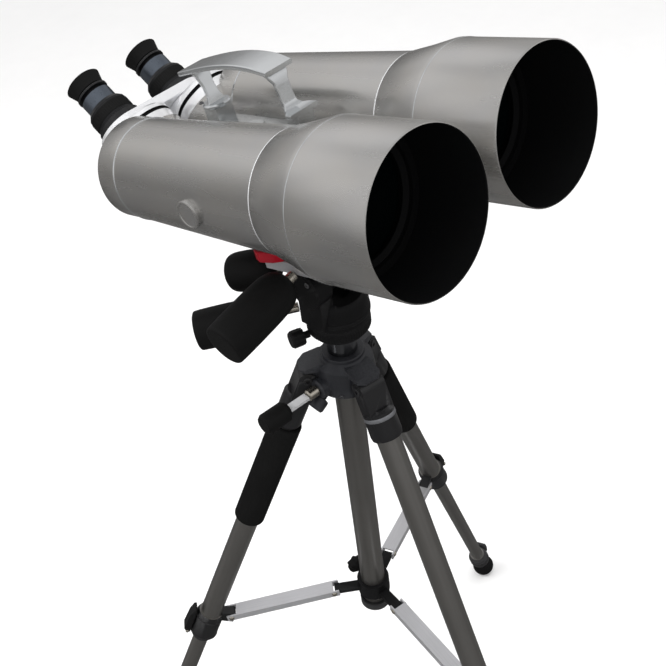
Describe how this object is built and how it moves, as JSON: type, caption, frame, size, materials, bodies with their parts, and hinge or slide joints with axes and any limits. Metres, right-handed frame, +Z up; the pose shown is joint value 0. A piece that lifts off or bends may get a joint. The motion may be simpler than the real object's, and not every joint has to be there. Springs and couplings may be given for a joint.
{
  "type": "astronomy binoculars",
  "caption": "Large astronomy binoculars with angled eyepieces and a carry handle, on a tilting pan head and a folding tripod with a crank-driven column.",
  "frame": {"origin": "centre of the bounding box at floor level", "axes": "+Z up; the objectives look along -Y, the eyepieces are towards +Y, and the user's left barrel is at +X"},
  "size_m": [0.6699, 0.6644, 1.1164],
  "materials": {
    "silver_paint": "satin silver-grey paint",
    "bright_alloy": "polished",
    "cast_alloy": "satin casting",
    "black_anodised": "black anodised",
    "grey_anodised": "grey anodised",
    "glass": "coated optical glass",
    "rubber": "matt moulded",
    "head_black": "matt black paint",
    "red_plastic": "moulded",
    "tube_alloy": "grey anodised tube",
    "brace_alloy": "plain satin",
    "crown_grey": "dark grey paint",
    "foam": "closed-cell foam",
    "steel": "turned"
  },
  "bodies": {
    "tripod": {"crown": "crown_grey", "column_sleeve": "tube_alloy"},
    "column": {"centre_column": "black_anodised", "pan_base": "head_black"},
    "pan_lock": {"pan_lock_knob": "head_black"},
    "pan_head": {"pan_yoke": "head_black"},
    "pan_handle": {"pan_grip": "rubber"},
    "tilt_head": {"tilt_block": "head_black"},
    "tilt_handle": {"tilt_grip": "rubber"},
    "binocular": {"side_tilt_platform": "brace_alloy", "quick_release_plate": "cast_alloy", "centre_casting": "cast_alloy", "bridge_plate": "bright_alloy", "carry_handle": "cast_alloy", "dew_shield_left": "silver_paint", "objective_cone_left": "silver_paint", "objective_lens_left": "glass", "barrel_left": "silver_paint", "rear_housing_left": "silver_paint", "prism_left": "glass", "dew_shield_right": "silver_paint", "objective_cone_right": "silver_paint", "objective_lens_right": "glass", "barrel_right": "silver_paint", "rear_housing_right": "silver_paint", "prism_right": "glass"},
    "side_handle": {"side_tilt_grip": "rubber"},
    "latch": {"release_latch": "red_plastic"},
    "turret_left": {"eyepiece_turret_left": "bright_alloy"},
    "turret_right": {"eyepiece_turret_right": "bright_alloy"},
    "focus_left": {"focus_ring_left": "grey_anodised"},
    "focus_right": {"focus_ring_right": "grey_anodised"},
    "ocular_left": {"eyepiece_left": "black_anodised", "eye_lens_left": "glass"},
    "ocular_right": {"eyepiece_right": "black_anodised", "eye_lens_right": "glass"},
    "cup_left": {"eyecup_left": "rubber"},
    "cup_right": {"eyecup_right": "rubber"},
    "crank_spindle": {"crank_shaft": "steel"},
    "crank_handle": {"crank_arm": "bright_alloy"},
    "crank_grip": {"crank_knob": "rubber"},
    "leg_right": {"leg_upper_right": "tube_alloy", "leg_foam_right": "foam"},
    "leg_front": {"leg_upper_front": "tube_alloy"},
    "leg_rear": {"leg_upper_rear": "tube_alloy", "leg_foam_rear": "foam"},
    "lock_right": {"leg_lever_right": "head_black"},
    "lock_front": {"leg_lever_front": "head_black"},
    "lock_rear": {"leg_lever_rear": "head_black"},
    "mid_right": {"leg_middle_right": "tube_alloy"},
    "mid_front": {"leg_middle_front": "tube_alloy"},
    "mid_rear": {"leg_middle_rear": "tube_alloy"},
    "low_right": {"leg_lower_right": "tube_alloy"},
    "low_front": {"leg_lower_front": "tube_alloy"},
    "low_rear": {"leg_lower_rear": "tube_alloy"},
    "hub": {"brace_hub": "head_black"},
    "hub_knob": {"hub_lock_knob": "rubber"},
    "brace_right": {"brace_arm_right": "brace_alloy"},
    "brace_front": {"brace_arm_front": "brace_alloy"},
    "brace_rear": {"brace_arm_rear": "brace_alloy"}
  },
  "joints": [
    {"name": "column_lift", "type": "slide", "parent": "tripod", "child": "column", "axis": [0, 0, 1], "range_m": [0, 0.28]},
    {"name": "pan_lock_turn", "type": "hinge", "parent": "column", "child": "pan_lock", "pos_m": [-0.06279, 0.06359, 0.8254], "axis": [-0.9272, 0.3746, 0], "range_deg": [-90, 90]},
    {"name": "pan", "type": "hinge", "parent": "column", "child": "pan_head", "pos_m": [-0.0346, 0.0522, 0.7984], "axis": [0, 0, 1], "continuous": true},
    {"name": "pan_handle_twist", "type": "hinge", "parent": "pan_head", "child": "pan_handle", "pos_m": [-0.0602, 0.0758, 0.8494], "axis": [-0.715, 0.6839, -0.1453], "range_deg": [-60, 60]},
    {"name": "tilt", "type": "hinge", "parent": "pan_head", "child": "tilt_head", "pos_m": [-0.0346, 0.0522, 0.8834], "axis": [-1, 0, 0], "range_deg": [-33.4, 9.5]},
    {"name": "tilt_handle_twist", "type": "hinge", "parent": "tilt_head", "child": "tilt_handle", "pos_m": [-0.0521, 0.0968, 0.8834], "axis": [-0.369, 0.8711, -0.324], "range_deg": [-60, 60]},
    {"name": "side_tilt", "type": "hinge", "parent": "tilt_head", "child": "binocular", "pos_m": [-0.0346, 0.05729, 0.90476], "axis": [0, 0.9728, -0.2318], "range_deg": [-10, 10]},
    {"name": "side_handle_twist", "type": "hinge", "parent": "binocular", "child": "side_handle", "pos_m": [-0.0801, 0.0522, 0.909], "axis": [-0.9758, 0, -0.2186], "range_deg": [-60, 60]},
    {"name": "latch_turn", "type": "hinge", "parent": "binocular", "child": "latch", "pos_m": [-0.0676, 0.08596, 0.91695], "axis": [0, 0.2318, 0.9728], "range_deg": [-60, 0]},
    {"name": "turret_turn_right", "type": "hinge", "parent": "binocular", "child": "turret_right", "pos_m": [-0.0726, 0.25096, 0.9938], "axis": [0, 0.8518, 0.5239], "range_deg": [-9, 9]},
    {"name": "turret_turn_left", "type": "hinge", "parent": "binocular", "child": "turret_left", "pos_m": [0.0034, 0.25096, 0.9938], "axis": [0, 0.8518, 0.5239], "range_deg": [-9, 9]},
    {"name": "focus_turn_right", "type": "hinge", "parent": "turret_right", "child": "focus_right", "pos_m": [-0.0696, 0.29497, 0.9921], "axis": [0, 0.8518, 0.5239], "range_deg": [-150, 150]},
    {"name": "focus_turn_left", "type": "hinge", "parent": "turret_left", "child": "focus_left", "pos_m": [0.0004, 0.29497, 0.9921], "axis": [0, 0.8518, 0.5239], "range_deg": [-150, 150]},
    {"name": "focus_travel_right", "type": "slide", "parent": "turret_right", "child": "ocular_right", "axis": [0, 0.8518, 0.5239], "range_m": [-0.003, 0.003]},
    {"name": "focus_travel_left", "type": "slide", "parent": "turret_left", "child": "ocular_left", "axis": [0, 0.8518, 0.5239], "range_m": [-0.003, 0.003]},
    {"name": "eyecup_slide_right", "type": "slide", "parent": "ocular_right", "child": "cup_right", "axis": [0, 0.8518, 0.5239], "range_m": [0, 0.004]},
    {"name": "eyecup_slide_left", "type": "slide", "parent": "ocular_left", "child": "cup_left", "axis": [0, 0.8518, 0.5239], "range_m": [0, 0.004]},
    {"name": "crank_turn", "type": "hinge", "parent": "tripod", "child": "crank_spindle", "pos_m": [-0.0346, 0.0522, 0.7644], "axis": [-0.9945, 0.1045, 0], "range_deg": [0, 3605]},
    {"name": "crank_fold", "type": "hinge", "parent": "crank_spindle", "child": "crank_handle", "pos_m": [-0.08632, 0.05763, 0.7644], "axis": [-0.1045, -0.9945, 0], "range_deg": [-90, 0]},
    {"name": "crank_grip_spin", "type": "hinge", "parent": "crank_handle", "child": "crank_grip", "pos_m": [-0.08632, 0.05763, 0.7644], "axis": [-0.9945, 0.1045, 0], "continuous": true},
    {"name": "leg_fold_right", "type": "hinge", "parent": "tripod", "child": "leg_right", "pos_m": [-0.06277, 0.07634, 0.7704], "axis": [-0.6508, -0.7593, 0], "range_deg": [0, 16]},
    {"name": "leg_fold_front", "type": "hinge", "parent": "tripod", "child": "leg_front", "pos_m": [-0.04142, 0.01573, 0.7704], "axis": [0.9829, -0.184, 0], "range_deg": [0, 16]},
    {"name": "leg_fold_rear", "type": "hinge", "parent": "tripod", "child": "leg_rear", "pos_m": [0.00039, 0.06452, 0.7704], "axis": [-0.3322, 0.9432, 0], "range_deg": [0, 16]},
    {"name": "lock_turn_right", "type": "hinge", "parent": "leg_right", "child": "lock_right", "pos_m": [-0.20126, 0.19504, 0.41159], "axis": [-0.6508, -0.7593, 0], "range_deg": [0, 85]},
    {"name": "lock_turn_front", "type": "hinge", "parent": "leg_front", "child": "lock_front", "pos_m": [-0.07498, -0.16356, 0.41159], "axis": [0.9829, -0.184, 0], "range_deg": [0, 85]},
    {"name": "lock_turn_rear", "type": "hinge", "parent": "leg_rear", "child": "lock_rear", "pos_m": [0.17244, 0.12511, 0.41159], "axis": [-0.3322, 0.9432, 0], "range_deg": [0, 85]},
    {"name": "mid_slide_right", "type": "slide", "parent": "leg_right", "child": "mid_right", "axis": [-0.3097, 0.2654, -0.913], "range_m": [-0.25, 0]},
    {"name": "mid_slide_front", "type": "slide", "parent": "leg_front", "child": "mid_front", "axis": [-0.075, -0.4009, -0.913], "range_m": [-0.25, 0]},
    {"name": "mid_slide_rear", "type": "slide", "parent": "leg_rear", "child": "mid_rear", "axis": [0.3847, 0.1355, -0.913], "range_m": [-0.25, 0]},
    {"name": "low_slide_right", "type": "slide", "parent": "mid_right", "child": "low_right", "axis": [-0.3097, 0.2654, -0.913], "range_m": [0, 0.26]},
    {"name": "low_slide_front", "type": "slide", "parent": "mid_front", "child": "low_front", "axis": [-0.075, -0.4009, -0.913], "range_m": [0, 0.26]},
    {"name": "low_slide_rear", "type": "slide", "parent": "mid_rear", "child": "low_rear", "axis": [0.3847, 0.1355, -0.913], "range_m": [0, 0.26]},
    {"name": "hub_travel", "type": "slide", "parent": "tripod", "child": "hub", "axis": [0, 0, 1], "range_m": [0, 0.0885]},
    {"name": "hub_knob_turn", "type": "hinge", "parent": "hub", "child": "hub_knob", "pos_m": [-0.0318, 0.06714, 0.4384], "axis": [0.184, 0.9829, 0], "range_deg": [-90, 90]},
    {"name": "brace_swing_right", "type": "hinge", "parent": "leg_right", "child": "brace_right", "pos_m": [-0.16071, 0.16029, 0.42278], "axis": [-0.6508, -0.7593, 0], "range_deg": [0, 56]},
    {"name": "brace_swing_front", "type": "hinge", "parent": "leg_front", "child": "brace_front", "pos_m": [-0.06515, -0.11106, 0.42278], "axis": [0.9829, -0.184, 0], "range_deg": [0, 56]},
    {"name": "brace_swing_rear", "type": "hinge", "parent": "leg_rear", "child": "brace_rear", "pos_m": [0.12206, 0.10737, 0.42278], "axis": [-0.3322, 0.9432, 0], "range_deg": [0, 56]}
  ],
  "couplings": [
    {"joint": "crank_turn", "follows": "column_lift", "rad_per_m": 224.4},
    {"joint": "turret_turn_left", "follows": "turret_turn_right", "ratio": -1},
    {"joint": "focus_travel_right", "follows": "focus_turn_right", "m_per_rad": 0.00114},
    {"joint": "focus_travel_left", "follows": "focus_turn_left", "m_per_rad": 0.00114},
    {"joint": "leg_fold_front", "follows": "leg_fold_right", "ratio": 1},
    {"joint": "leg_fold_rear", "follows": "leg_fold_right", "ratio": 1},
    {"joint": "brace_swing_right", "follows": "leg_fold_right", "ratio": 3.4938},
    {"joint": "brace_swing_front", "follows": "leg_fold_right", "ratio": 3.4938},
    {"joint": "brace_swing_rear", "follows": "leg_fold_right", "ratio": 3.4938},
    {"joint": "hub_travel", "follows": "leg_fold_right", "m_per_rad": 0.31401}
  ]
}
